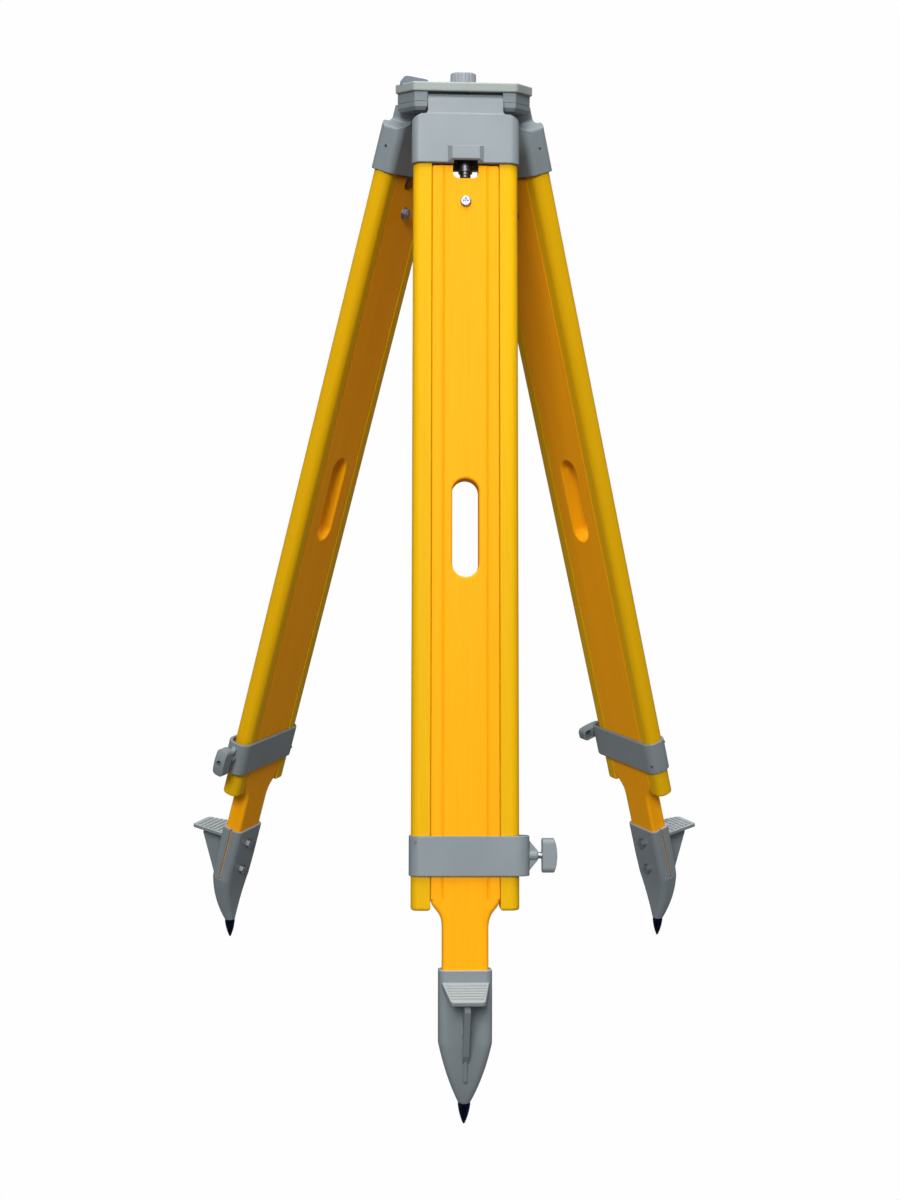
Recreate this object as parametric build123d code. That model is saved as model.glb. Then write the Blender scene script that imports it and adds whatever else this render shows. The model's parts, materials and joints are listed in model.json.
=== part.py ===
"""Wooden telescopic surveying tripod, legs retracted and spread, in millimetres.

Frame: +Z up, the front leg points along -Y, the origin is the point on the ground plumb below
the head's centre, and the three foot points stand on Z = 0.

A leg is drawn in its own leg frame and placed three times. In that frame X runs across the leg
towards its clamp knob, -Y points out of the tripod and -Z runs down the leg. The three numbers
(u, v, w) below are distances across, outward and down the leg from the point where the leg's
middle plane crosses the hinge level.
"""
import os
from math import cos, radians, sin, sqrt

from build123d import *

os.makedirs("parts", exist_ok=True)

# ---- driving dimensions ------------------------------------------------------------------------
TILT = 16.03            # a leg leans this far out of the vertical, degrees
LEG_RADIUS = 50.1       # the leg's middle plane at the hinge level, from the tripod's axis
PIN_AXIS_RADIUS = 42.0  # hinge pin axis, from the tripod's axis
GAP = 0.3               # clearance between pieces that slide on each other
RUN_FIT = 0.05          # radial clearance of a turning fit

# stations down the leg, w
CAP_BOTTOM = 69.25
CLAMP_TOP, CLAMP_BOTTOM = 743.0, 781.9
RAIL_END = 815.0
SHOE_TOP, SHOE_SHOULDER = 871.4, 941.0
NOSE_W, NOSE_V = 999.4, -14.7
TIP_LENGTH = 24.0

# upper leg
RAIL_INNER, RAIL_OUTER, RAIL_T = 34.0, 53.0, 21.6
RAIL_ROUND = 9.0
TENON_OUTER, TENON_T, TENON_TOP = 51.2, 18.4, 35.0
GROOVE_DEPTH, GROOVE_T = 3.7, 8.0
CAP_HALF, CAP_T, CAP_ROUND = 54.5, 28.0, 8.5
NECK_HALF, NECK_TOP = 38.2, 1.5
FLARE_TOP, FLARE_BOTTOM = 15.5, 23.0
SHOULDER_W = 18.5       # above this the cap's face stands back
NECK_OUT = 9.5
SOCKET_TOP = 33.5
BOLT_END, BOLT_SOCKET_R = 82.0, 2.5
BOLT_STEPS = ((7.2, SOCKET_TOP, 75.5), (5.4, 75.5, 78.5), (4.7, 78.5, 79.3), (5.4, 79.3, BOLT_END))
HOOD_TOP, HOOD_BOTTOM, HOOD_PROUD, HOOD_WALL = 51.0, 66.0, 3.5, 2.0
HOOD_BASE, HOOD_FRONT, HOOD_HOLLOW = 19.6, 13.8, 12.0
BARREL_R, PIN_R, PIN_HALF = 8.5, 5.0, 50.0
ROLL_PIN_R, CAP_PIN_W, CAP_PIN_IN = 1.5, 43.5, 44.0
PIN_DEPTH, PIN_RECESS = 2.0, 1.2    # inner end of a clamp pin, and how far its head is sunk
CLAMP_PIN_U, OUTER_PIN_W, INNER_PIN_W = -49.0, 749.0, 772.0

# lower leg
BOARD_HALF, BOARD_T, BOARD_TOP = 33.7, 21.0, 70.0
BOARD_EDGE, BOARD_CORNER = 1.2, 3.5
TONGUE_OUT, TONGUE_T = 37.2, 7.4
NARROW_HALF, NARROW_ROUND = 22.4, 4.0
TAPER_TOP, TAPER_BOTTOM = 804.0, 832.0
SLOT_W, SLOT_LENGTH, SLOT_WIDTH = 440.6, 98.0, 26.4
NOTCH_HALF, NOTCH_BOTTOM, NOTCH_ROUND = 13.0, 84.4, 6.0
BEAD_U, BEAD_HALF, BEAD_DEPTH = 22.0, 1.4, 1.3
STOP_R = 3.0
STOP_W, STOP_HEAD_R, STOP_PROUD = 108.5, 5.6, 2.8
CROSS_LONG, CROSS_WIDE = 3.0, 0.7
WASHER_R, WASHER_T, NUT_FLATS, NUT_T = 6.5, 1.2, 10.0, 4.4

# clamp
CLAMP_LEFT, CLAMP_RIGHT, CLAMP_T, CLAMP_ROUND = -55.0, 63.0, 28.6, 12.0
HOLLOW_RIGHT = 60.0
SCREW_W, SCREW_R = 762.4, 3.2
BOSS_R, BOSS_END = 5.3, 71.5
KNOB_IN, KNOB_OUT = 75.4, 89.9
KNOB_LENGTH, KNOB_WIDTH, KNOB_DOME, KNOB_ROUND = 33.4, 14.0, 3.0, 5.0
KNOB_REST_TURN = 90.0    # the right leg's knob rests across its leg
KNOB_FACE_T, KNOB_POCKET, KNOB_POCKET_DEPTH = 6.0, 8.5, 8.0
PAD_OUTER, PAD_T, PAD_HALF_H = 57.5, 15.0, 14.0

# foot
SHOE_HALF, SHOE_T, SHOE_ROUND = 26.0, 27.0, 7.0
COLLAR_END, GUSSET_HALF, RIB_HALF = 915.0, 3.0, 1.5
NOSE_R = 6.3
PEDAL_W, PEDAL_REACH, PEDAL_ANGLE, PEDAL_T = 882.6, 49.0, 13.5, 4.0
PEDAL_ROOT_HALF, PEDAL_END_HALF = 23.2, 16.4
SHOE_BOLT_W, BOLT_R, BOLT_FLATS, BOLT_HEAD_T = (891.5, 928.0), 3.0, 10.0, 4.2

# head
PLATE_SIDE, PLATE_CORNER, PLATE_T = 106.4, 36.7, 9.2
PLATE_ABOVE_HINGE = 19.2
LUG_INSET, LUG_FACE = 2.4, NECK_HALF + 0.4
SEAM = 0.15             # half the gap between a lug and its bearing cap
BEARING_CAP_DROP = 8.5
OPENING_R = 30.0
TAB_X, TAB_Y, TAB_LENGTH, TAB_WIDTH, TAB_H, TAB_SEAT = -66.5, -27.0, 29.0, 9.0, 7.7, 1.0
STUD_R = 7.94           # 5/8 inch centring thread
ARM_PIVOT_Y, ARM_T, ARM_HALF = 37.0, 3.5, 15.0
ARM_SLOT, ARM_TRAVEL = 20.6, 24.0
THREAD_CAP_R, THREAD_CAP_H = 13.5, 15.4

# ---- values worked out from them ---------------------------------------------------------------
SIN, COS = sin(radians(TILT)), cos(radians(TILT))
PIN_V = -(LEG_RADIUS - PIN_AXIS_RADIUS) * COS
PIN_W = -(LEG_RADIUS - PIN_AXIS_RADIUS) * SIN
TIP_V, TIP_W = NOSE_V - TIP_LENGTH * SIN, NOSE_W + TIP_LENGTH * COS
HINGE_Z = TIP_W * COS - TIP_V * SIN
PLATE_TOP = HINGE_Z + PLATE_ABOVE_HINGE
PLATE_BOTTOM = PLATE_TOP - PLATE_T
LEG_TURNS = {"front": 0, "right": 120, "left": 240}
SLANT = 0.01            # solids that are cut away run this far past a face


def leg_place(name):
    """Where a leg frame stands in the tripod."""
    return Rot(0, 0, LEG_TURNS[name]) * Pos(0, -LEG_RADIUS, HINGE_Z) * Rot(-TILT, 0, 0)


def block(u, v, w):
    """Box between a low and a high limit across, outward and down the leg."""
    spans = [high - low for low, high in (u, v, w)]
    middle = [(low + high) / 2 for low, high in (u, v, w)]
    return Pos(middle[0], -middle[1], -middle[2]) * Box(*spans)


def across(radius, u0, u1, v, w):
    """Round bar that runs across the leg from u0 to u1."""
    return Pos((u0 + u1) / 2, -v, -w) * Rot(0, 90, 0) * Cylinder(radius, u1 - u0)


def outward(radius, v0, v1, u, w):
    """Round bar that runs through the leg from its inner side v0 to its outer side v1."""
    return Pos(u, -(v0 + v1) / 2, -w) * Rot(90, 0, 0) * Cylinder(radius, v1 - v0)


def down(radius, w0, w1, u=0, v=0):
    """Round bar that runs down the leg from w0 to w1."""
    return Pos(u, -v, -(w0 + w1) / 2) * Cylinder(radius, w1 - w0)


def face_plate(points, v0, v1):
    """Plate whose outline is given as (u, w) points and which spans v0 to v1."""
    outline = make_face(Polyline(*[(u, -w) for u, w in points], close=True))
    return Pos(0, -(v0 + v1) / 2, 0) * extrude(Plane.XZ * outline, (v1 - v0) / 2, both=True)


def side_plate(points, half_width):
    """Plate whose outline is given as (v, w) points, centred across the leg."""
    outline = make_face(Polyline(*[(-v, -w) for v, w in points], close=True))
    return extrude(Plane.YZ * outline, half_width, both=True)


# ---- upper leg ---------------------------------------------------------------------------------
def hood():
    """Bulge over the tension bolt on the cap's face: a flat front with sloping sides."""
    half = CAP_T / 2
    base = [(-HOOD_BASE, HOOD_TOP), (HOOD_BASE, HOOD_TOP), (HOOD_BASE, CAP_BOTTOM), (-HOOD_BASE, CAP_BOTTOM)]
    front = [(-HOOD_FRONT, HOOD_TOP + 2), (HOOD_FRONT, HOOD_TOP + 2), (HOOD_FRONT, HOOD_BOTTOM),
             (-HOOD_FRONT, HOOD_BOTTOM)]
    faces = []
    for v, points in ((half - 1, base), (half + HOOD_PROUD, front)):
        faces.append(Pos(0, -v, 0) * (Plane.XZ * make_face(Polyline(*[(u, -w) for u, w in points], close=True))))
    return loft(faces, ruled=True)


def cap():
    """Cast top fitting: a rounded socket for both rails and a narrow neck on the hinge pin."""
    section = RectangleRounded(2 * CAP_HALF, CAP_T, CAP_ROUND)
    shell = extrude(section, CAP_BOTTOM - NECK_TOP)
    shell = Pos(0, 0, -CAP_BOTTOM) * fillet(shell.edges().group_by(Axis.Z)[0], 1.0)
    shell -= face_plate([(-CAP_HALF - 1, 0), (CAP_HALF + 1, 0), (CAP_HALF + 1, SHOULDER_W),
                         (-CAP_HALF - 1, SHOULDER_W)], NECK_OUT, CAP_T)
    right = [(NECK_HALF, NECK_TOP - 1), (NECK_HALF, FLARE_TOP), (CAP_HALF, FLARE_BOTTOM)]
    outline = right + [(CAP_HALF + 1, CAP_BOTTOM + 1)]
    outline += [(-u, w) for u, w in reversed(outline)]
    flare = face_plate(outline, -CAP_T, CAP_T)
    for w in (FLARE_TOP, FLARE_BOTTOM):
        corners = [e for e in flare.edges().filter_by(Axis.Y) if abs(e.center().Z + w) < SLANT]
        flare = fillet(corners, 5)
    half = CAP_T / 2
    neck = side_plate([(half, FLARE_BOTTOM + 4), (NECK_OUT + 1.5, FLARE_BOTTOM - 2),
                       (NECK_OUT, FLARE_TOP), (NECK_OUT, NECK_TOP + 2), (NECK_OUT - 2, NECK_TOP),
                       (PIN_V + 4, PIN_W - BARREL_R + 1), (PIN_V - BARREL_R, PIN_W),
                       (PIN_V - BARREL_R, PIN_W + 3), (-half, FLARE_TOP), (-half, FLARE_BOTTOM + 4)],
                      NECK_HALF)
    barrel = across(BARREL_R, -NECK_HALF, NECK_HALF, PIN_V, PIN_W)
    solid = (shell & flare) + neck + barrel + hood()
    solid -= block((-HOOD_HOLLOW, HOOD_HOLLOW), (TENON_T / 2 - 1, half + HOOD_PROUD - HOOD_WALL),
                   (HOOD_TOP + 3.5, CAP_BOTTOM + 1))
    solid -= block((-TENON_OUTER, TENON_OUTER), (-TENON_T / 2, TENON_T / 2), (SOCKET_TOP, CAP_BOTTOM + 1))
    solid -= across(PIN_R + RUN_FIT, -CAP_HALF, CAP_HALF, PIN_V, PIN_W)
    solid -= down(5, 10, SOCKET_TOP + 1)
    for side in (-1, 1):
        solid -= across(ROLL_PIN_R, *sorted((side * CAP_PIN_IN, side * (CAP_HALF + 1))), 0, CAP_PIN_W)
    return solid


def rail():
    """Wooden rail of the knob side: half-round outside, grooved inside, tenon at the top."""
    width = RAIL_OUTER - RAIL_INNER
    section = Pos((RAIL_OUTER + RAIL_INNER) / 2, 0) * Rectangle(width, RAIL_T)
    section = fillet(section.vertices().group_by(Axis.X)[-1], RAIL_ROUND)
    section = fillet(section.vertices().group_by(Axis.X)[0], 1.5)
    solid = Pos(0, 0, -RAIL_END) * extrude(section, RAIL_END - CAP_BOTTOM)
    solid = fillet(solid.edges().group_by(Axis.Z)[0], 3.0)
    tenon = block((RAIL_INNER, TENON_OUTER), (-TENON_T / 2, TENON_T / 2), (TENON_TOP, CAP_BOTTOM))
    groove = block((RAIL_INNER - 1, RAIL_INNER + GROOVE_DEPTH), (-GROOVE_T / 2, GROOVE_T / 2),
                   (0, RAIL_END + 1))
    return solid + tenon - groove


def knob_side_rail():
    """The rail with its pin holes."""
    return rail() - across(ROLL_PIN_R, CAP_PIN_IN, CAP_HALF, 0, CAP_PIN_W)


def plain_side_rail():
    """The mirrored rail, pinned to the cap and to the clamp."""
    solid = mirror(rail(), Plane.YZ) - across(ROLL_PIN_R, -CAP_HALF, -CAP_PIN_IN, 0, CAP_PIN_W)
    return solid - clamp_pin_holes()


def clamp_pin_holes():
    """Blind holes for the clamp's pins: one from the outer face and one from the inner face."""
    return [outward(ROLL_PIN_R, PIN_DEPTH, CLAMP_T, CLAMP_PIN_U, OUTER_PIN_W),
            outward(ROLL_PIN_R, -CLAMP_T, -PIN_DEPTH, CLAMP_PIN_U, INNER_PIN_W)]


def roll_pins():
    """Two pins hold the rails in the cap and two hold the clamp on the plain side rail."""
    pins = [across(ROLL_PIN_R, CAP_PIN_IN, CAP_HALF - 0.4, 0, CAP_PIN_W),
            across(ROLL_PIN_R, -CAP_HALF + 0.4, -CAP_PIN_IN, 0, CAP_PIN_W)]
    end = CLAMP_T / 2 - PIN_RECESS
    pins += [outward(ROLL_PIN_R, PIN_DEPTH, end, CLAMP_PIN_U, OUTER_PIN_W),
             outward(ROLL_PIN_R, -end, -PIN_DEPTH, CLAMP_PIN_U, INNER_PIN_W)]
    return Compound(pins)


def tension_bolt():
    """Stepped bolt that hangs in the cap's socket and sets how stiff the hinge is."""
    solid = down(5, 10, SOCKET_TOP)
    for radius, top, bottom in BOLT_STEPS:
        solid += down(radius, top, bottom)
    solid = chamfer(solid.edges().filter_by(GeomType.CIRCLE).group_by(Axis.Z)[0], 0.5)
    return solid - down(BOLT_SOCKET_R, BOLT_END - 6, BOLT_END + 1)


def clamp_band():
    """Cast band round both rails, with a boss for the clamp screw beyond the knob side rail."""
    middle = (CLAMP_LEFT + CLAMP_RIGHT) / 2
    outer = Pos(middle, 0) * RectangleRounded(CLAMP_RIGHT - CLAMP_LEFT, CLAMP_T, CLAMP_ROUND)
    hollow_middle = (HOLLOW_RIGHT - RAIL_OUTER) / 2
    hollow = Pos(hollow_middle, 0) * RectangleRounded(HOLLOW_RIGHT + RAIL_OUTER, RAIL_T, RAIL_ROUND)
    height = CLAMP_BOTTOM - CLAMP_TOP
    solid = extrude(outer, height)
    solid = fillet(solid.edges().group_by(Axis.Z)[-1] + solid.edges().group_by(Axis.Z)[0], 1.0)
    solid = Pos(0, 0, -CLAMP_BOTTOM) * solid
    web_end = CLAMP_RIGHT - 2.5
    web = face_plate([(web_end, CLAMP_TOP + 2), (BOSS_END - 1, SCREW_W - BOSS_R),
                      (BOSS_END - 1, SCREW_W + BOSS_R), (web_end, CLAMP_BOTTOM - 2)], -3, 3)
    boss = across(BOSS_R, web_end, BOSS_END, 0, SCREW_W)
    solid += web + chamfer(boss.edges().sort_by(Axis.X)[-1], 1)
    solid -= Pos(0, 0, -CLAMP_BOTTOM - 1) * extrude(hollow, height + 2)
    solid -= across(SCREW_R + RUN_FIT, RAIL_OUTER, BOSS_END + 1, 0, SCREW_W)
    return solid - clamp_pin_holes()


# ---- clamp screw -------------------------------------------------------------------------------
def clamp_pad():
    """Shoe that the screw presses on the rounded edge of the knob side rail."""
    heights = (SCREW_W - PAD_HALF_H, SCREW_W + PAD_HALF_H)
    pad = block((RAIL_OUTER - 4, PAD_OUTER), (-PAD_T / 2, PAD_T / 2), heights)
    pad = chamfer(pad.edges().filter_by(Axis.Z).group_by(Axis.X)[-1], 4.5)
    width = RAIL_OUTER - RAIL_INNER + GAP
    rail_space = Pos(RAIL_INNER + width / 2, 0) * Rectangle(width, RAIL_T + 2 * GAP)
    rail_space = fillet(rail_space.vertices().group_by(Axis.X)[-1], RAIL_ROUND + GAP)
    pad -= Pos(0, 0, -CLAMP_BOTTOM) * extrude(rail_space, CLAMP_BOTTOM - CLAMP_TOP)
    return pad - across(SCREW_R + RUN_FIT, RAIL_OUTER + 1.5, PAD_OUTER + 1, 0, SCREW_W)


def clamp_screw():
    """Steel screw from the pad to the knob."""
    return across(SCREW_R, RAIL_OUTER + 1.8, KNOB_OUT - 2 * KNOB_FACE_T + 4, 0, SCREW_W)


def clamp_knob():
    """Hand knob: an oblong bar with a domed face, rounded ends and a hollow back."""
    height = KNOB_OUT - KNOB_IN
    dome_r = (KNOB_LENGTH ** 2 / 4 + KNOB_DOME ** 2) / (2 * KNOB_DOME)
    bar = extrude(RectangleRounded(KNOB_LENGTH, KNOB_WIDTH, KNOB_ROUND), height)
    bar &= Pos(0, 0, height - dome_r) * Rot(90, 0, 0) * Cylinder(dome_r, 2 * KNOB_WIDTH)
    bar = fillet(bar.edges().group_by(Axis.Z)[-1] + bar.edges().group_by(Axis.Z)[0], 0.8)
    bar -= Pos(0, 0, height - KNOB_FACE_T) * Cylinder(SCREW_R, 2 * (height - KNOB_FACE_T))
    for side in (-1, 1):
        pocket = extrude(RectangleRounded(KNOB_POCKET, KNOB_WIDTH - 4, 2), KNOB_POCKET_DEPTH)
        bar -= Pos(side * (KNOB_POCKET / 2 + SCREW_R + 2), 0, 0) * pocket
    return Pos(KNOB_IN, 0, -SCREW_W) * Rot(0, 90, 0) * bar


# ---- lower leg ---------------------------------------------------------------------------------
def lower_leg():
    """Wooden board that slides between the rails, narrow where it enters the foot."""
    half = BOARD_T / 2
    taper = Bezier((BOARD_HALF, -TAPER_TOP), (BOARD_HALF, -TAPER_TOP - 10),
                   (NARROW_HALF, -TAPER_TOP - 10), (NARROW_HALF, -TAPER_BOTTOM))
    foot_end = SHOE_SHOULDER - 1
    half_outline = [Line((0, -TAPER_TOP), (BOARD_HALF, -TAPER_TOP)), taper,
                    Line((NARROW_HALF, -TAPER_BOTTOM), (NARROW_HALF, -foot_end)),
                    Line((NARROW_HALF, -foot_end), (0, -foot_end))]
    outline = make_face(half_outline + [mirror(edge, Plane.YZ) for edge in half_outline])
    tail = extrude(Plane.XZ * outline, half, both=True)
    long_edges = [e for e in tail.edges() if abs(e.center().X) > 5 and abs(abs(e.center().Y) - half) < SLANT]
    tail = fillet(long_edges, NARROW_ROUND)
    section = RectangleRounded(2 * BOARD_HALF, BOARD_T, BOARD_EDGE)
    board = extrude(section, TAPER_TOP - BOARD_TOP)
    top_corners = [e for e in board.edges().filter_by(Axis.Y) if e.center().Z > 1]
    if top_corners:
        board = fillet(top_corners, BOARD_CORNER)
    solid = Pos(0, 0, -TAPER_TOP) * board + tail
    tongue = TONGUE_T / 2
    solid += block((-TONGUE_OUT, TONGUE_OUT), (-tongue, tongue), (BOARD_TOP, TAPER_TOP - 4))
    notch = RectangleRounded(2 * NOTCH_HALF, 2 * (NOTCH_BOTTOM - BOARD_TOP), NOTCH_ROUND)
    solid -= extrude(Plane.XZ * Pos(0, -BOARD_TOP) * notch, BOARD_T, both=True)
    slot = Plane.XZ * Pos(0, -SLOT_W) * Rot(0, 0, 90) * SlotOverall(SLOT_LENGTH, SLOT_WIDTH)
    solid -= extrude(slot, BOARD_T, both=True)
    rims = [e for e in solid.edges() if abs(-e.center().Z - SLOT_W) < SLOT_LENGTH / 2
            and abs(e.center().X) < SLOT_WIDTH and abs(abs(e.center().Y) - half) < SLANT]
    solid = fillet(rims, 2.5)
    for u in (-BEAD_U, BEAD_U):
        vee = [(u - BEAD_HALF, -half), (u, BEAD_DEPTH - half), (u + BEAD_HALF, -half), (u, -half - BEAD_HALF)]
        bead = extrude(make_face(Polyline(*vee, close=True)), TAPER_TOP - BOARD_TOP)
        solid -= Pos(0, 0, -TAPER_TOP) * bead
    solid -= outward(STOP_R, -half - 1, half + 1, 0, STOP_W)
    for w in SHOE_BOLT_W:
        solid -= outward(BOLT_R, -half - 1, half + 1, 0, w)
    return solid


def stop_screw():
    """Cross-recessed screw that meets the clamp at full extension, with its washer and nut."""
    half = BOARD_T / 2
    head = outward(STOP_HEAD_R, half, half + STOP_PROUD, 0, STOP_W)
    head = fillet(head.edges().sort_by(Axis.Y)[0], 1.6)
    screw = head + outward(STOP_R, -half - WASHER_T - NUT_T - 0.8, half, 0, STOP_W)
    for u, w in ((CROSS_LONG, CROSS_WIDE), (CROSS_WIDE, CROSS_LONG)):
        screw -= block((-u, u), (half + 1, half + STOP_PROUD + 1), (STOP_W - w, STOP_W + w))
    washer = outward(WASHER_R, -half - WASHER_T, -half, 0, STOP_W)
    hexagon = extrude(RegularPolygon(NUT_FLATS / 2, 6, major_radius=False), NUT_T)
    nut = chamfer(hexagon.edges().group_by(Axis.Z)[-1], 0.7)
    nut = Pos(0, half + WASHER_T, -STOP_W) * Rot(-90, 0, 0) * nut
    bore = outward(STOP_R, -2 * half, half, 0, STOP_W)
    return Compound([screw, washer - bore, nut - bore])


# ---- foot --------------------------------------------------------------------------------------
def shoe_section(half_width, thickness, rounding, v, w, lean):
    """Rounded section of the shoe, square to a line that leans inward by lean degrees."""
    section = RectangleRounded(2 * half_width, thickness, rounding)
    return Pos(0, -v, -w) * Rot(lean, 0, 0) * section


def pedal():
    """Ribbed tread plate with rounded corners and the gusset under it."""
    corners = [(-PEDAL_ROOT_HALF, 0), (PEDAL_ROOT_HALF, 0), (PEDAL_END_HALF, -PEDAL_REACH),
               (-PEDAL_END_HALF, -PEDAL_REACH)]
    plate = Pos(0, 0, -PEDAL_T) * extrude(make_face(Polyline(*corners, close=True)), PEDAL_T)
    tip_edges = plate.edges().filter_by(Axis.Z).sort_by(Axis.Y)[0:2]
    plate = fillet(tip_edges, 4)
    plate = fillet(plate.edges().group_by(Axis.Z)[-1].sort_by(Axis.Y)[0:1], 1.2)
    for number in range(RIB_COUNT):
        y = -RIB_FIRST - number * RIB_PITCH
        half = PEDAL_ROOT_HALF + (PEDAL_ROOT_HALF - PEDAL_END_HALF) * y / PEDAL_REACH - 2.5
        plate += Pos(0, y, 0) * Rot(0, 90, 0) * Cylinder(1.2, 2 * half)
    return Pos(0, -SHOE_T / 2 + 1, -PEDAL_W) * Rot(PEDAL_ANGLE, 0, 0) * plate


RIB_COUNT, RIB_FIRST, RIB_PITCH = 6, 9.0, 6.4


def shoe():
    """Cast foot: split collar on the board, curved nose, pedal, gusset and bolt bosses."""
    half = SHOE_T / 2
    collar = extrude(RectangleRounded(2 * SHOE_HALF, SHOE_T, SHOE_ROUND), COLLAR_END - SHOE_TOP)
    collar = fillet(collar.edges().group_by(Axis.Z)[-1], 1.0)
    lower = loft([shoe_section(SHOE_HALF, SHOE_T, SHOE_ROUND, 0, COLLAR_END, 0),
                  shoe_section(SHOE_HALF, 25.8, 8.5, -0.6, SHOE_SHOULDER, 0)])
    nose = loft([shoe_section(SHOE_HALF, 25.8, 8.5, -0.6, SHOE_SHOULDER, 0),
                 shoe_section(17.6, 21.0, 7.5, -5.0, 971.0, 9),
                 shoe_section(NOSE_R, 2 * NOSE_R, NOSE_R - 0.3, NOSE_V, NOSE_W, TILT)])
    gusset = side_plate([(half - 3, PEDAL_W + 2), (half + 37, PEDAL_W + 12), (half + 37, PEDAL_W + 23),
                         (20.8, 951), (11, 959), (8, 959)], GUSSET_HALF)
    rib = side_plate([(half - 3, 930), (22, 948), (13.2, 957), (6.5, 977), (-1, 983), (-3, 975)], RIB_HALF)
    bosses = Sketch() + [Pos(0, -w) * Circle(6) for w in SHOE_BOLT_W]
    bosses = Pos(0, -half, 0) * extrude(Plane.XZ * bosses, 3, both=True)
    solid = Pos(0, 0, -COLLAR_END) * collar + lower + nose + gusset + rib + pedal() + bosses
    end = SHOE_SHOULDER - 1
    pocket = fillet(Rectangle(2 * NARROW_HALF, BOARD_T).vertices(), NARROW_ROUND)
    solid -= Pos(0, 0, -end) * extrude(pocket, end - SHOE_TOP + 1)
    solid -= block((-SHOE_HALF - 1, SHOE_HALF + 1), (-1.8, 0), (SHOE_TOP - 1, end))
    for w in SHOE_BOLT_W:
        solid -= outward(BOLT_R, -half - 1, half + 2, 0, w)
    return solid - tip_stem()


def tip_frame(shape):
    """Stand a shape, drawn about Z with its top at 0, on the shoe's nose, plumb at rest."""
    return Pos(0, -NOSE_V, -NOSE_W) * Rot(TILT, 0, 0) * shape


def tip_stem():
    """Round stem of the point, inside the nose."""
    return tip_frame(Pos(0, 0, 5) * Cylinder(3, 10))


def tip():
    """Hardened steel point with a bulged cone."""
    bulge = Spline((6.1, -3.5), (4.3, -13.5), (1.0, -TIP_LENGTH + 0.8))
    outline = make_face([Line((0, 0), (NOSE_R - 0.3, 0)), Line((NOSE_R - 0.3, 0), (6.1, -3.5)), bulge,
                         Line((1.0, -TIP_LENGTH + 0.8), (0, -TIP_LENGTH)), Line((0, -TIP_LENGTH), (0, 0))])
    return tip_frame(revolve(Plane.XZ * outline, Axis.Z)) + tip_stem()


def shoe_bolts():
    """Two hexagon bolts that draw the split collar together."""
    bolts = []
    for w in SHOE_BOLT_W:
        head = extrude(RegularPolygon(BOLT_FLATS / 2, 6, major_radius=False), BOLT_HEAD_T)
        head = Pos(0, SHOE_T / 2 + BOLT_HEAD_T, -w) * Rot(90, 0, 0) * head
        bolts.append(head + outward(BOLT_R, -SHOE_T / 2, SHOE_T / 2 + 2, 0, w))
    return Compound(bolts)


# ---- head --------------------------------------------------------------------------------------
SIDE_DISTANCE = (PLATE_SIDE + 2 * PLATE_CORNER) / (2 * sqrt(3))
CORNER_DISTANCE = 2 * SIDE_DISTANCE - PLATE_CORNER * sqrt(3) / 2


def head_outline(inset):
    """Triangle with its three corners cut off; the long sides face the legs."""
    side, corner = SIDE_DISTANCE - inset, CORNER_DISTANCE - inset
    half = (2 * side - corner) / sqrt(3)
    points = []
    for turn in (90, 210, 330):
        out = Vector(cos(radians(turn)), sin(radians(turn)))
        along = Vector(-out.Y, out.X)
        points += [out * corner - along * half, out * corner + along * half]
    return make_face(Polyline(*points, close=True))


def corner_footprint():
    """The rear corner of the head between the necks of the two rear legs."""
    outline = head_outline(LUG_INSET)
    for turn in (30, 150):
        outline -= Rot(0, 0, turn) * Rectangle(4 * CORNER_DISTANCE, 2 * LUG_FACE)
    return Sketch() + [face for face in outline.faces() if face.center().Y > LUG_FACE]


def corner_block(z0, z1):
    """Upright block on the rear corner's footprint."""
    return Pos(0, 0, z0) * extrude(corner_footprint(), z1 - z0)


def pin_bore(radius):
    """Bars along the two pins that end in the rear corner."""
    bars = []
    for turn in (120, 240):
        bar = Pos(0, -PIN_AXIS_RADIUS, HINGE_Z) * Rot(0, 90, 0) * Cylinder(radius, 2 * PIN_HALF)
        bars.append(Rot(0, 0, turn) * bar)
    return bars


CAP_SCREW_Y, CAP_SCREW_R, CAP_SCREW_HEAD_R = 59.0, 3.0, 5.0


def head_plate():
    """Cast head: flat table, round opening and three split corner lugs."""
    table = Pos(0, 0, PLATE_BOTTOM) * extrude(head_outline(0), PLATE_T)
    table = fillet(table.edges().filter_by(Axis.Z), 3.5)
    table = fillet(table.edges().group_by(Axis.Z)[-1] + table.edges().group_by(Axis.Z)[0], 1.4)
    table -= Pos(TAB_X + TAB_LENGTH / 2 - 2, TAB_Y, PLATE_TOP) * Box(TAB_LENGTH + 6, TAB_WIDTH + 2, 2 * TAB_SEAT)
    lug = corner_block(HINGE_Z + SEAM, PLATE_BOTTOM)
    for bar in pin_bore(PIN_R):
        lug -= bar
    table += [Rot(0, 0, turn) * lug for turn in (0, 120, 240)]
    table -= Pos(0, 0, PLATE_BOTTOM) * Cylinder(OPENING_R, 4 * PLATE_T)
    table -= Pos(0, ARM_PIVOT_Y, PLATE_BOTTOM) * Cylinder(2.5, 10)
    screw_top = PLATE_BOTTOM + 4
    screw = Pos(0, CAP_SCREW_Y, screw_top - 15) * Cylinder(CAP_SCREW_R, 30)
    return table - [Rot(0, 0, turn) * screw for turn in (0, 120, 240)]


def bearing_cap():
    """Lower half of a corner bearing, tapered underneath."""
    low = HINGE_Z - BEARING_CAP_DROP
    solid = corner_block(low, HINGE_Z - SEAM)
    solid = chamfer(solid.edges().group_by(Axis.Z)[0], 3.5, 2.4)
    for bar in pin_bore(PIN_R):
        solid -= bar
    solid -= Pos(0, CAP_SCREW_Y, low) * Cylinder(CAP_SCREW_R, 60)
    return solid - Pos(0, CAP_SCREW_Y, low) * Cylinder(CAP_SCREW_HEAD_R, 10)


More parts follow.
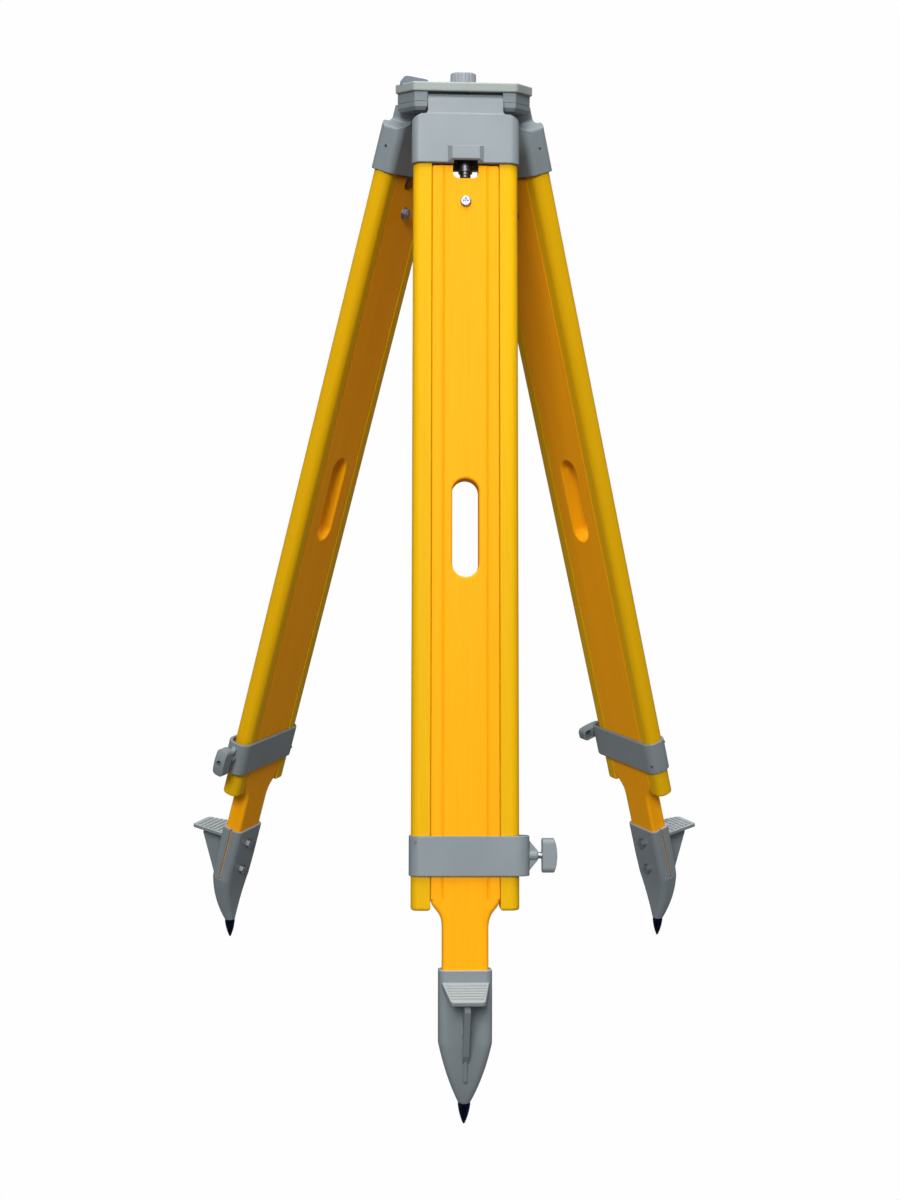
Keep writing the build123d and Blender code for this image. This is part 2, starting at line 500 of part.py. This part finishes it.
def cap_screws():
    """One socket-head screw holds each bearing cap."""
    seat = HINGE_Z - BEARING_CAP_DROP + 5
    top = PLATE_BOTTOM + 4
    shank = Pos(0, CAP_SCREW_Y, (seat + top) / 2) * Cylinder(CAP_SCREW_R, top - seat)
    head = Pos(0, CAP_SCREW_Y, seat - 2.5) * Cylinder(CAP_SCREW_HEAD_R, 5)
    socket = extrude(RegularPolygon(2.5, 6, major_radius=False), 3)
    screw = shank + head - Pos(0, CAP_SCREW_Y, seat - 5) * socket
    return Compound([Rot(0, 0, turn) * screw for turn in (0, 120, 240)])


def hinge_pin():
    """Steel pin of the front leg, held by two corners."""
    return Pos(0, -PIN_AXIS_RADIUS, HINGE_Z) * Rot(0, 90, 0) * Cylinder(PIN_R, 2 * PIN_HALF)


def corner_tab():
    """Bent clip seated in a shallow recess on the front left corner of the table."""
    outline = [(0, -TAB_SEAT), (0, 2.0), (4.5, TAB_H - 0.6), (6.5, TAB_H), (9, TAB_H), (TAB_LENGTH - 2, 4.6),
               (TAB_LENGTH, 3.4), (TAB_LENGTH, -TAB_SEAT)]
    profile = make_face(Polyline(*outline, close=True))
    clip = extrude(Plane.XZ * profile, TAB_WIDTH / 2, both=True)
    clip = fillet(clip.edges().filter_by(Axis.Y).group_by(Axis.Z)[-1], 1.0)
    return Pos(TAB_X, TAB_Y, PLATE_TOP) * clip


# ---- centring arm ------------------------------------------------------------------------------
ARM_TOP = PLATE_BOTTOM - GAP
ARM_BOTTOM = ARM_TOP - ARM_T
BUSH_BOTTOM = ARM_BOTTOM - GAP - 2.0
KNOB_TOP = BUSH_BOTTOM - GAP
KNOB_HEIGHT, CENTRE_KNOB_R = 22.0, 15.5
STUD_TOP = PLATE_TOP + 11.0


def centring_arm():
    """Slotted arm under the table that swings about its rear end."""
    end = ARM_TRAVEL / 2 + ARM_SLOT / 2 + 5.5
    plan = Pos(0, (12 - end) / 2) * RectangleRounded(2 * ARM_HALF, end + 12, 11)
    plan += make_face(Polyline((-ARM_HALF, 2), (ARM_HALF, 2), (7, ARM_PIVOT_Y), (-7, ARM_PIVOT_Y), close=True))
    plan += Pos(0, ARM_PIVOT_Y) * Circle(7)
    plan -= Rot(0, 0, 90) * SlotOverall(ARM_TRAVEL + ARM_SLOT, ARM_SLOT)
    plan -= Pos(0, ARM_PIVOT_Y) * Circle(3 + RUN_FIT)
    return Pos(0, 0, ARM_BOTTOM) * extrude(plan, ARM_T)


def arm_pivot_screw():
    """Shoulder screw that the arm swings on."""
    shoulder_bottom = ARM_BOTTOM - GAP
    solid = Pos(0, ARM_PIVOT_Y, PLATE_BOTTOM) * Cylinder(2.5, 10)
    solid += Pos(0, ARM_PIVOT_Y, (PLATE_BOTTOM + shoulder_bottom) / 2) * Cylinder(3, PLATE_BOTTOM - shoulder_bottom)
    solid += Pos(0, ARM_PIVOT_Y, shoulder_bottom - 1.25) * Cylinder(5.5, 2.5)
    return solid - Pos(0, ARM_PIVOT_Y, shoulder_bottom - 2.5) * Box(12, 1.2, 2)


def slide_bush():
    """Flanged bush that slides in the arm's slot and carries the centring screw."""
    barrel = Pos(0, 0, (ARM_BOTTOM - GAP + ARM_TOP - GAP) / 2) * Cylinder(ARM_SLOT / 2 - GAP, ARM_T)
    flange = Pos(0, 0, BUSH_BOTTOM + 1) * Cylinder(14, 2)
    return barrel + flange - Pos(0, 0, ARM_BOTTOM) * Cylinder(STUD_R + RUN_FIT, 20)


def centring_screw():
    """Steel instrument screw, 5/8 inch, standing in the head's opening."""
    bottom = KNOB_TOP - KNOB_HEIGHT
    solid = Pos(0, 0, (bottom + STUD_TOP) / 2) * Cylinder(STUD_R, STUD_TOP - bottom)
    solid = chamfer(solid.edges().sort_by(Axis.Z)[-1], 1)
    return solid - Pos(0, 0, (bottom + STUD_TOP) / 2) * Cylinder(3, STUD_TOP - bottom + 1)


def centring_knob():
    """Fluted hand grip of the centring screw."""
    plan = Circle(CENTRE_KNOB_R) - PolarLocations(CENTRE_KNOB_R + 1.6, 12) * Circle(2.8)
    solid = Pos(0, 0, KNOB_TOP - KNOB_HEIGHT) * extrude(plan, KNOB_HEIGHT)
    return solid - Pos(0, 0, KNOB_TOP) * Cylinder(STUD_R, 3 * KNOB_HEIGHT)


def plumb_hook():
    """Hook for a plumb line under the centring screw."""
    bottom = KNOB_TOP - KNOB_HEIGHT
    stem = Pos(0, 0, bottom + 2) * Cylinder(3, 16)
    ring = Pos(0, 0, bottom - 9.5) * Rot(90, 0, 0) * Torus(4.5, 1.3)
    gap_cut = Pos(-4.5, 0, bottom - 7) * Box(5, 4, 3)
    return stem + ring - gap_cut


def thread_cap():
    """Fluted plastic cap that protects the thread of the centring screw."""
    flutes = PolarLocations(THREAD_CAP_R + 0.9, 18) * Circle(1.5)
    body = extrude(Circle(THREAD_CAP_R) - flutes, THREAD_CAP_H - GAP - 1.4)
    crown = Pos(0, 0, THREAD_CAP_H - GAP - 1.4) * extrude(Circle(THREAD_CAP_R - 1.2), 1.4)
    crown = fillet(crown.edges().group_by(Axis.Z)[-1], 1.1)
    bore = Pos(0, 0, (STUD_TOP - PLATE_TOP) / 2) * Cylinder(STUD_R + RUN_FIT, STUD_TOP - PLATE_TOP + GAP)
    return Pos(0, 0, PLATE_TOP + GAP) * (body + crown - bore)


# ---- write every node --------------------------------------------------------------------------
LEG_PIECES = {"leg_cap": cap, "rail_knob_side": knob_side_rail, "rail_plain_side": plain_side_rail,
              "roll_pins": roll_pins, "tension_bolt": tension_bolt, "leg_clamp": clamp_band,
              "clamp_pad": clamp_pad, "clamp_screw": clamp_screw, "clamp_knob": clamp_knob,
              "lower_leg": lower_leg, "stop_screw": stop_screw, "foot_shoe": shoe, "foot_tip": tip,
              "shoe_bolts": shoe_bolts}
HEAD_PIECES = {"head_plate": head_plate, "bearing_cap_screws": cap_screws, "corner_tab": corner_tab,
               "centring_arm": centring_arm, "arm_pivot_screw": arm_pivot_screw,
               "slide_bush": slide_bush, "centring_screw": centring_screw,
               "centring_knob": centring_knob, "plumb_hook": plumb_hook, "thread_cap": thread_cap}
CORNER_TURNS = {"rear": 0, "front_left": 120, "front_right": 240}


def write(shape, node):
    """Write one node."""
    export_step(shape, f"parts/{node}.step")


for piece, make in LEG_PIECES.items():
    shape = make()
    for leg in LEG_TURNS:
        write(leg_place(leg) * shape, f"{leg}_{piece}")
turned_knob = Pos(0, 0, -SCREW_W) * Rot(KNOB_REST_TURN, 0, 0) * Pos(0, 0, SCREW_W) * clamp_knob()
write(leg_place("right") * turned_knob, "right_clamp_knob")
pin, lower_bearing = hinge_pin(), bearing_cap()
for leg, turn in LEG_TURNS.items():
    write(Rot(0, 0, turn) * pin, f"{leg}_hinge_pin")
for corner, turn in CORNER_TURNS.items():
    write(Rot(0, 0, turn) * lower_bearing, f"bearing_cap_{corner}")
for piece, make in HEAD_PIECES.items():
    write(make(), piece)
print("hinge", round(HINGE_Z, 2), "plate top", round(PLATE_TOP, 2), "pin v w", round(PIN_V, 2), round(PIN_W, 2))
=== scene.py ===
"""Looks of the wooden surveying tripod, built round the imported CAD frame. Metres."""
import json
import math

import bmesh
import bpy
from mathutils import Matrix, Vector


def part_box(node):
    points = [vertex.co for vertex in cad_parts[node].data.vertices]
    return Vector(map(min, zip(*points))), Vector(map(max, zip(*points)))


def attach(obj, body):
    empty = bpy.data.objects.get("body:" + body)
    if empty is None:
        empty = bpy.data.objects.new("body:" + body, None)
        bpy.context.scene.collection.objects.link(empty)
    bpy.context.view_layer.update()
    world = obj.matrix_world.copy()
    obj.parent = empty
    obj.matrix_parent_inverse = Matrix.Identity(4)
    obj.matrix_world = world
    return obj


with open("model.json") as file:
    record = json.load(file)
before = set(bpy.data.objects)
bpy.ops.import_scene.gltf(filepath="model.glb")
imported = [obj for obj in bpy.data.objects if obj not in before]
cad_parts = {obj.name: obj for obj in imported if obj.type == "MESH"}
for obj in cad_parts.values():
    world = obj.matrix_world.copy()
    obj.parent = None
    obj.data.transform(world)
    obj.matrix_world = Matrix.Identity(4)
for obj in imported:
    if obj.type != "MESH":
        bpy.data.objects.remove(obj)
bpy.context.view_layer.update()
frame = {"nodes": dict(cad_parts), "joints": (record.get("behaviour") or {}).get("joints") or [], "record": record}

LEGS = ("front", "right", "left")
JOINTS = {joint["name"]: joint for joint in frame["joints"]}
SLOT_OF = {part["node"]: part["material_slot"] for part in frame["record"]["subparts"]}


# ---- leg frames, worked out from the joints ------------------------------------------------------
def leg_axes(leg):
    """Unit vectors across the leg, outward from it and down it."""
    across = -Vector(JOINTS[f"{leg}_leg_swing"]["axis"])
    down = Vector(JOINTS[f"{leg}_leg_extend"]["axis"])
    return across, down.cross(across), down


def leg_angles(leg):
    """The leg's turn about Z and its lean out of the vertical."""
    across, _, down = leg_axes(leg)
    return math.atan2(across.y, across.x), math.acos(-down.z)


# ---- camera, floor and light ---------------------------------------------------------------------
CAMERA_PLACE = (-0.08475, -1.73595, 0.78562)
CAMERA_PITCH, CAMERA_YAW, CAMERA_ROLL = (math.radians(a) for a in (10.586, -2.587, 0.794))
CAMERA_LENS = 47.583


def make_camera():
    """Camera at the photograph's place."""
    data = bpy.data.cameras.new("camera")
    data.lens = CAMERA_LENS
    data.sensor_width = 36.0
    data.clip_start, data.clip_end = 0.05, 100.0
    camera = bpy.data.objects.new("camera", data)
    bpy.context.collection.objects.link(camera)
    forward = Vector((-math.sin(CAMERA_YAW) * math.cos(CAMERA_PITCH),
                      math.cos(CAMERA_YAW) * math.cos(CAMERA_PITCH), -math.sin(CAMERA_PITCH)))
    level = Vector((math.cos(CAMERA_YAW), math.sin(CAMERA_YAW), 0))
    rise = level.cross(forward)
    right = math.cos(CAMERA_ROLL) * level + math.sin(CAMERA_ROLL) * rise
    up = right.cross(forward)
    turn = Matrix((right, up, -forward)).transposed()
    camera.matrix_world = Matrix.Translation(CAMERA_PLACE) @ turn.to_4x4()
    bpy.context.scene.camera = camera


STAGE_RADIUS = 12.0


def make_stage():
    """White floor and backdrop that glow evenly, light nothing and take no shadow."""
    bpy.ops.mesh.primitive_circle_add(vertices=64, radius=STAGE_RADIUS, fill_type="NGON")
    floor = bpy.context.object
    floor.name = "floor"
    bpy.ops.mesh.primitive_uv_sphere_add(segments=48, ring_count=24, radius=STAGE_RADIUS)
    backdrop = bpy.context.object
    backdrop.name = "backdrop"
    material, tree, shader = new_material("stage_white")
    shader.inputs["Base Color"].default_value = (0, 0, 0, 1)
    shader.inputs["Specular IOR Level"].default_value = 0.0
    shader.inputs["Emission Color"].default_value = (1, 1, 1, 1)
    shader.inputs["Emission Strength"].default_value = 0.99
    for piece in (floor, backdrop):
        piece.data.materials.append(material)
        piece.visible_diffuse = piece.visible_glossy = False
        piece.visible_transmission = piece.visible_shadow = False


def area_light(name, place, target, size, power):
    """Soft square lamp aimed at a point."""
    data = bpy.data.lights.new(name, "AREA")
    data.size = size
    data.energy = power
    lamp = bpy.data.objects.new(name, data)
    bpy.context.collection.objects.link(lamp)
    lamp.location = place
    lamp.rotation_euler = (Vector(target) - Vector(place)).to_track_quat("-Z", "Y").to_euler()


SKY_ABOVE, SKY_BELOW = 0.30, 0.22
LAMP_SIZE = 1.6
LAMPS = {"key": ((-0.8, -4.4, 3.1), (0, -0.1, 0.5), 226),      # place, aim, watts
         "overhead": ((0.1, -0.6, 3.4), (0, -0.1, 0), 84)}


def make_light():
    """Soft key above and in front, a lamp overhead and a sky that is dimmer below."""
    world = bpy.data.worlds.new("studio")
    bpy.context.scene.world = world
    world.use_nodes = True
    tree = world.node_tree
    direction = node(tree, "ShaderNodeTexCoord").outputs["Generated"]
    strength = node(tree, "ShaderNodeMapRange", _From_Min=-0.5, _From_Max=0.5,
                    _To_Min=SKY_BELOW, _To_Max=SKY_ABOVE)
    tree.links.new(vertical(tree, direction), strength.inputs["Value"])
    background = tree.nodes["Background"]
    background.inputs["Color"].default_value = (0.97, 0.985, 1, 1)
    tree.links.new(strength.outputs["Result"], background.inputs["Strength"])
    for name, (place, target, power) in LAMPS.items():
        area_light(name, place, target, LAMP_SIZE, power)
    bpy.context.scene.view_settings.view_transform = "Standard"


# ---- materials -----------------------------------------------------------------------------------
def new_material(name):
    """Empty Principled material; returns it with its tree and shader."""
    material = bpy.data.materials.new(name)
    material.use_nodes = True
    tree = material.node_tree
    return material, tree, tree.nodes["Principled BSDF"]


def node(tree, kind, **values):
    """Add a node; keys with a leading _ are inputs (underscores stand for spaces)."""
    made = tree.nodes.new(kind)
    for key, value in values.items():
        if key.startswith("_"):
            made.inputs[key[1:].replace("_", " ")].default_value = value
        else:
            setattr(made, key, value)
    return made


def stretched(tree, scale, leg=None):
    """Object coordinates, turned into a leg's own frame when one is named, times a scale."""
    vector = node(tree, "ShaderNodeTexCoord").outputs["Object"]
    if leg:
        turn, lean = leg_angles(leg)
        for rotation in ((0, 0, -turn), (lean, 0, 0)):
            mapping = node(tree, "ShaderNodeMapping", _Rotation=rotation)
            tree.links.new(vector, mapping.inputs["Vector"])
            vector = mapping.outputs["Vector"]
    scaled = node(tree, "ShaderNodeVectorMath", operation="MULTIPLY")
    scaled.inputs[1].default_value = scale
    tree.links.new(vector, scaled.inputs[0])
    return scaled.outputs["Vector"]


def noise(tree, vector, scale=1.0, detail=3.0, rough=0.5):
    """Noise factor over a vector."""
    made = node(tree, "ShaderNodeTexNoise", _Scale=scale, _Detail=detail, _Roughness=rough)
    tree.links.new(vector, made.inputs["Vector"])
    return made.outputs["Fac"]


def ramp(tree, factor, stops):
    """Colour ramp over a factor; stops are (position, colour)."""
    made = node(tree, "ShaderNodeValToRGB")
    elements = made.color_ramp.elements
    while len(elements) < len(stops):
        elements.new(0.5)
    for element, (position, colour) in zip(elements, stops):
        element.position = position
        element.color = (*colour, 1)
    tree.links.new(factor, made.inputs["Fac"])
    return made.outputs["Color"]


def vertical(tree, vector):
    """The Z part of a vector."""
    split = node(tree, "ShaderNodeSeparateXYZ")
    tree.links.new(vector, split.inputs["Vector"])
    return split.outputs["Z"]


def soft_edges(tree, radius):
    """Normal rounded over the edges, and how near the surface point is to an edge."""
    rounded = node(tree, "ShaderNodeBevel", samples=4, _Radius=radius)
    flat = node(tree, "ShaderNodeNewGeometry")
    dot = node(tree, "ShaderNodeVectorMath", operation="DOT_PRODUCT")
    tree.links.new(rounded.outputs["Normal"], dot.inputs[0])
    tree.links.new(flat.outputs["Normal"], dot.inputs[1])
    edge = node(tree, "ShaderNodeMapRange", _From_Min=0.985, _From_Max=0.75)
    tree.links.new(dot.outputs["Value"], edge.inputs["Value"])
    return rounded.outputs["Normal"], edge.outputs["Result"]


def blend_colours(tree, factor, first, second):
    """Mix two colours by a factor; each may be a socket or a colour."""
    mix = node(tree, "ShaderNodeMix", data_type="RGBA")
    tree.links.new(factor, mix.inputs[0])
    for index, colour in ((6, first), (7, second)):
        if isinstance(colour, tuple):
            mix.inputs[index].default_value = (*colour, 1)
        else:
            tree.links.new(colour, mix.inputs[index])
    return mix.outputs[2]


def product(tree, first, second):
    """Product of two factors."""
    times = node(tree, "ShaderNodeMath", operation="MULTIPLY")
    tree.links.new(first, times.inputs[0])
    tree.links.new(second, times.inputs[1])
    return times.outputs["Value"]


def bumped(tree, shader, normal, height, strength, distance):
    """Bump a rounded normal by a height."""
    made = node(tree, "ShaderNodeBump", _Strength=strength, _Distance=distance)
    tree.links.new(height, made.inputs["Height"])
    tree.links.new(normal, made.inputs["Normal"])
    tree.links.new(made.outputs["Normal"], shader.inputs["Normal"])


def lacquered_wood(name, leg, light, dark):
    """Pigmented lacquer over straight-grained hardwood, rubbed a little lighter on the edges."""
    material, tree, shader = new_material(name)
    fibres = noise(tree, stretched(tree, (900, 900, 14), leg), 1.0, 6.0, 0.62)
    bands = noise(tree, stretched(tree, (60, 60, 1.6), leg), 1.0, 3.0, 0.5)
    colour = ramp(tree, bands, [(0.3, dark), (0.7, light)])
    streak = ramp(tree, fibres, [(0.38, (0.95, 0.93, 0.9)), (0.6, (1, 1, 1))])
    tint = node(tree, "ShaderNodeMix", data_type="RGBA", blend_type="MULTIPLY")
    tint.inputs[0].default_value = 1.0
    tree.links.new(colour, tint.inputs[6])
    tree.links.new(streak, tint.inputs[7])
    normal, edge = soft_edges(tree, 0.0008)
    scuffs = ramp(tree, noise(tree, stretched(tree, (120, 120, 30), leg), 1.0, 4.0),
                  [(0.5, (0, 0, 0)), (0.72, (0.5, 0.5, 0.5))])
    worn = tuple(min(1.0, 1.12 * channel + 0.03) for channel in light)
    tree.links.new(blend_colours(tree, product(tree, edge, scuffs), tint.outputs[2], worn),
                   shader.inputs["Base Color"])
    shader.inputs["Roughness"].default_value = 0.5
    shader.inputs["Specular IOR Level"].default_value = 0.06
    bumped(tree, shader, normal, fibres, 0.06, 0.0003)
    return material


COLOUR_STEP = 0.0004                    # half the height over which the casting's colour changes
UPWARD_FROM, UPWARD_FULL = 0.8, 0.93    # Z of the normal where the painted top light starts, and is full


def enamel(name, light, dark, roughness=0.42, below=None, painted_top_light=None):
    """Grey enamel with faint orange peel on a casting, rubbed through in places along the edges.

    below is (height, colour): under that height the casting takes that colour instead, and on the plate the
    lighter grey above that height is painted light. The last argument, when given, is a lighter colour painted on
    the faces that look up, as painted light from above.
    """
    material, tree, shader = new_material(name)
    patches = noise(tree, stretched(tree, (16, 16, 16)), 1.0, 4.0)
    colour = ramp(tree, patches, [(0.35, dark), (0.65, light)])
    # Under the given height the casting takes the other colour; on the plate, the lighter grey above that height
    # is painted light.
    if below:
        height, lower = below
        level = node(tree, "ShaderNodeMapRange",
                     _From_Min=height + COLOUR_STEP, _From_Max=height - COLOUR_STEP)
        place = node(tree, "ShaderNodeTexCoord").outputs["Object"]
        tree.links.new(vertical(tree, place), level.inputs["Value"])
        colour = blend_colours(tree, level.outputs["Result"], colour, lower)
    # Faces that look up are painted a lighter colour: painted light from above.
    if painted_top_light:
        upward = node(tree, "ShaderNodeMapRange", _From_Min=UPWARD_FROM, _From_Max=UPWARD_FULL)
        facing = node(tree, "ShaderNodeNewGeometry").outputs["Normal"]
        tree.links.new(vertical(tree, facing), upward.inputs["Value"])
        colour = blend_colours(tree, upward.outputs["Result"], colour, painted_top_light)
    normal, edge = soft_edges(tree, 0.0009)
    chips = ramp(tree, noise(tree, stretched(tree, (340, 340, 340)), 1.0, 5.0, 0.65),
                 [(0.52, (0, 0, 0)), (0.66, (0.8, 0.8, 0.8))])
    worn = tuple(min(1.0, 1.5 * channel + 0.04) for channel in light)
    tree.links.new(blend_colours(tree, product(tree, edge, chips), colour, worn),
                   shader.inputs["Base Color"])
    shader.inputs["Roughness"].default_value = roughness
    shader.inputs["Specular IOR Level"].default_value = 0.4
    peel = noise(tree, stretched(tree, (1100, 1100, 1100)), 1.0, 3.0)
    bumped(tree, shader, normal, peel, 0.16, 0.0003)
    return material


def metal(name, light, dark, roughness):
    """Bare or plated metal with fine wear marks."""
    material, tree, shader = new_material(name)
    marks = noise(tree, stretched(tree, (420, 420, 420)), 1.0, 5.0, 0.6)
    tree.links.new(ramp(tree, marks, [(0.35, dark), (0.65, light)]), shader.inputs["Base Color"])
    shader.inputs["Metallic"].default_value = 1.0
    rough = node(tree, "ShaderNodeMapRange", _To_Min=roughness - 0.08, _To_Max=roughness + 0.1)
    tree.links.new(marks, rough.inputs["Value"])
    tree.links.new(rough.outputs["Result"], shader.inputs["Roughness"])
    normal, _ = soft_edges(tree, 0.0004)
    bumped(tree, shader, normal, marks, 0.1, 0.0002)
    return material


def plastic(name, light, dark, roughness):
    """Moulded plastic with a fine grain."""
    material, tree, shader = new_material(name)
    grain = noise(tree, stretched(tree, (900, 900, 900)), 1.0, 3.0)
    tree.links.new(ramp(tree, grain, [(0.3, dark), (0.7, light)]), shader.inputs["Base Color"])
    shader.inputs["Roughness"].default_value = roughness
    normal, _ = soft_edges(tree, 0.0005)
    bumped(tree, shader, normal, grain, 0.15, 0.0002)
    return material


TABLE_THICKNESS = 0.0093     # a little more than the head table, so its underside keeps the table's painted lighter grey
CASTING, CASTING_DARK = (0.182, 0.212, 0.227), (0.163, 0.19, 0.204)
RAIL_PAINT, RAIL_PAINT_DARK = (0.67, 0.372, 0.002), (0.64, 0.352, 0.002)
BOARD_PAINT, BOARD_PAINT_DARK = (0.86, 0.35, 0.003), (0.83, 0.335, 0.003)


def make_materials():
    """One material per record slot; wood has one per leg because its grain follows the leg."""
    table_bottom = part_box("head_plate")[1][2] - TABLE_THICKNESS
    made = {
        "casting_grey": enamel("casting_grey", CASTING, CASTING_DARK),
        # The shoe's faces that look up are painted a lighter grey: painted light from above.
        "shoe": enamel("shoe_grey", CASTING, CASTING_DARK, painted_top_light=(0.34, 0.38, 0.375)),
        # The tab's dark blue-grey is painted shade: the shade seen on its top, given to the whole tab.
        "tab": enamel("tab_shade_grey", (0.12, 0.15, 0.2), (0.1, 0.125, 0.17)),
        # The plate's lighter grey is painted light: the same paint as the castings, shown as lit where the table
        # catches the light; under the table it takes the casting grey.
        "plate_grey": enamel("plate_grey", (0.3, 0.335, 0.315), (0.27, 0.3, 0.285), 0.45,
                             (table_bottom, CASTING)),
        "zinc_steel": metal("zinc_steel", (0.36, 0.39, 0.44), (0.24, 0.26, 0.31), 0.46),
        "dark_steel": metal("dark_steel", (0.16, 0.15, 0.17), (0.09, 0.09, 0.1), 0.42),
        "point_steel": metal("point_steel", (0.012, 0.018, 0.055), (0.004, 0.007, 0.025), 0.4),
        "brass": metal("brass", (0.72, 0.55, 0.25), (0.6, 0.45, 0.2), 0.35),
        "black_plastic": plastic("black_plastic", (0.035, 0.035, 0.04), (0.02, 0.02, 0.024), 0.5),
        "cap_plastic": plastic("cap_plastic", (0.31, 0.335, 0.365), (0.27, 0.295, 0.325), 0.42),
    }
    for leg in LEGS:
        for slot, light, dark in (("rail_wood", RAIL_PAINT, RAIL_PAINT_DARK),
                                  ("board_wood", BOARD_PAINT, BOARD_PAINT_DARK)):
            made[slot, leg] = lacquered_wood(f"{slot}_{leg}", leg, light, dark)
    return made


PAINTED_LIGHT_MATERIAL_OF = {"foot_shoe": "shoe", "tab": "tab"}     # nodes with a material of their own that paints light: painted top light on the shoe, painted shade on the tab


def finish_cad_nodes(materials):
    """Give every CAD node its slot's material."""
    for name, piece in frame["nodes"].items():
        slot = PAINTED_LIGHT_MATERIAL_OF.get(name.removeprefix(f"{name.split('_')[0]}_"), SLOT_OF[name])
        leg = name.split("_")[0]
        material = materials.get((slot, leg)) or materials[slot]
        piece.data.materials.clear()
        piece.data.materials.append(material)


# ---- wood that shows in the shoes' splits --------------------------------------------------------
HINGE_RADIUS, HINGE_HEIGHT = 0.0501, 0.9885998     # a leg frame's origin, from the tripod's axis
BOX_FACES = ((0, 1, 3, 2), (4, 6, 7, 5), (0, 4, 5, 1), (2, 3, 7, 6), (0, 2, 6, 4), (1, 5, 7, 3))
SPLIT_U, SPLIT_V, SPLIT_W = (0.0226, 0.0248), (-0.0016, -0.0002), (0.873, 0.938)


def make_split_wood(leg, material):
    """Strip of the board's edge that stands in the shoe's split, one on each side."""
    across, out, down = leg_axes(leg)
    origin = -Vector((-across.y, across.x, 0)) * HINGE_RADIUS + Vector((0, 0, HINGE_HEIGHT))
    mesh = bmesh.new()
    for side in (-1, 1):
        corners = [mesh.verts.new(origin + across * side * u + out * v + down * w)
                   for u in SPLIT_U for v in SPLIT_V for w in SPLIT_W]
        for face in BOX_FACES:
            mesh.faces.new([corners[i] for i in face])
    bmesh.ops.recalc_face_normals(mesh, faces=mesh.faces)
    data = bpy.data.meshes.new(f"{leg}_split_wood")
    mesh.to_mesh(data)
    mesh.free()
    data.materials.append(material)
    piece = bpy.data.objects.new(f"{leg}_split_wood", data)
    bpy.context.collection.objects.link(piece)
    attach(piece, f"{leg}_extension")


make_camera()
make_stage()
make_light()
finishes = make_materials()
finish_cad_nodes(finishes)
for leg in LEGS:
    make_split_wood(leg, finishes["board_wood", leg])
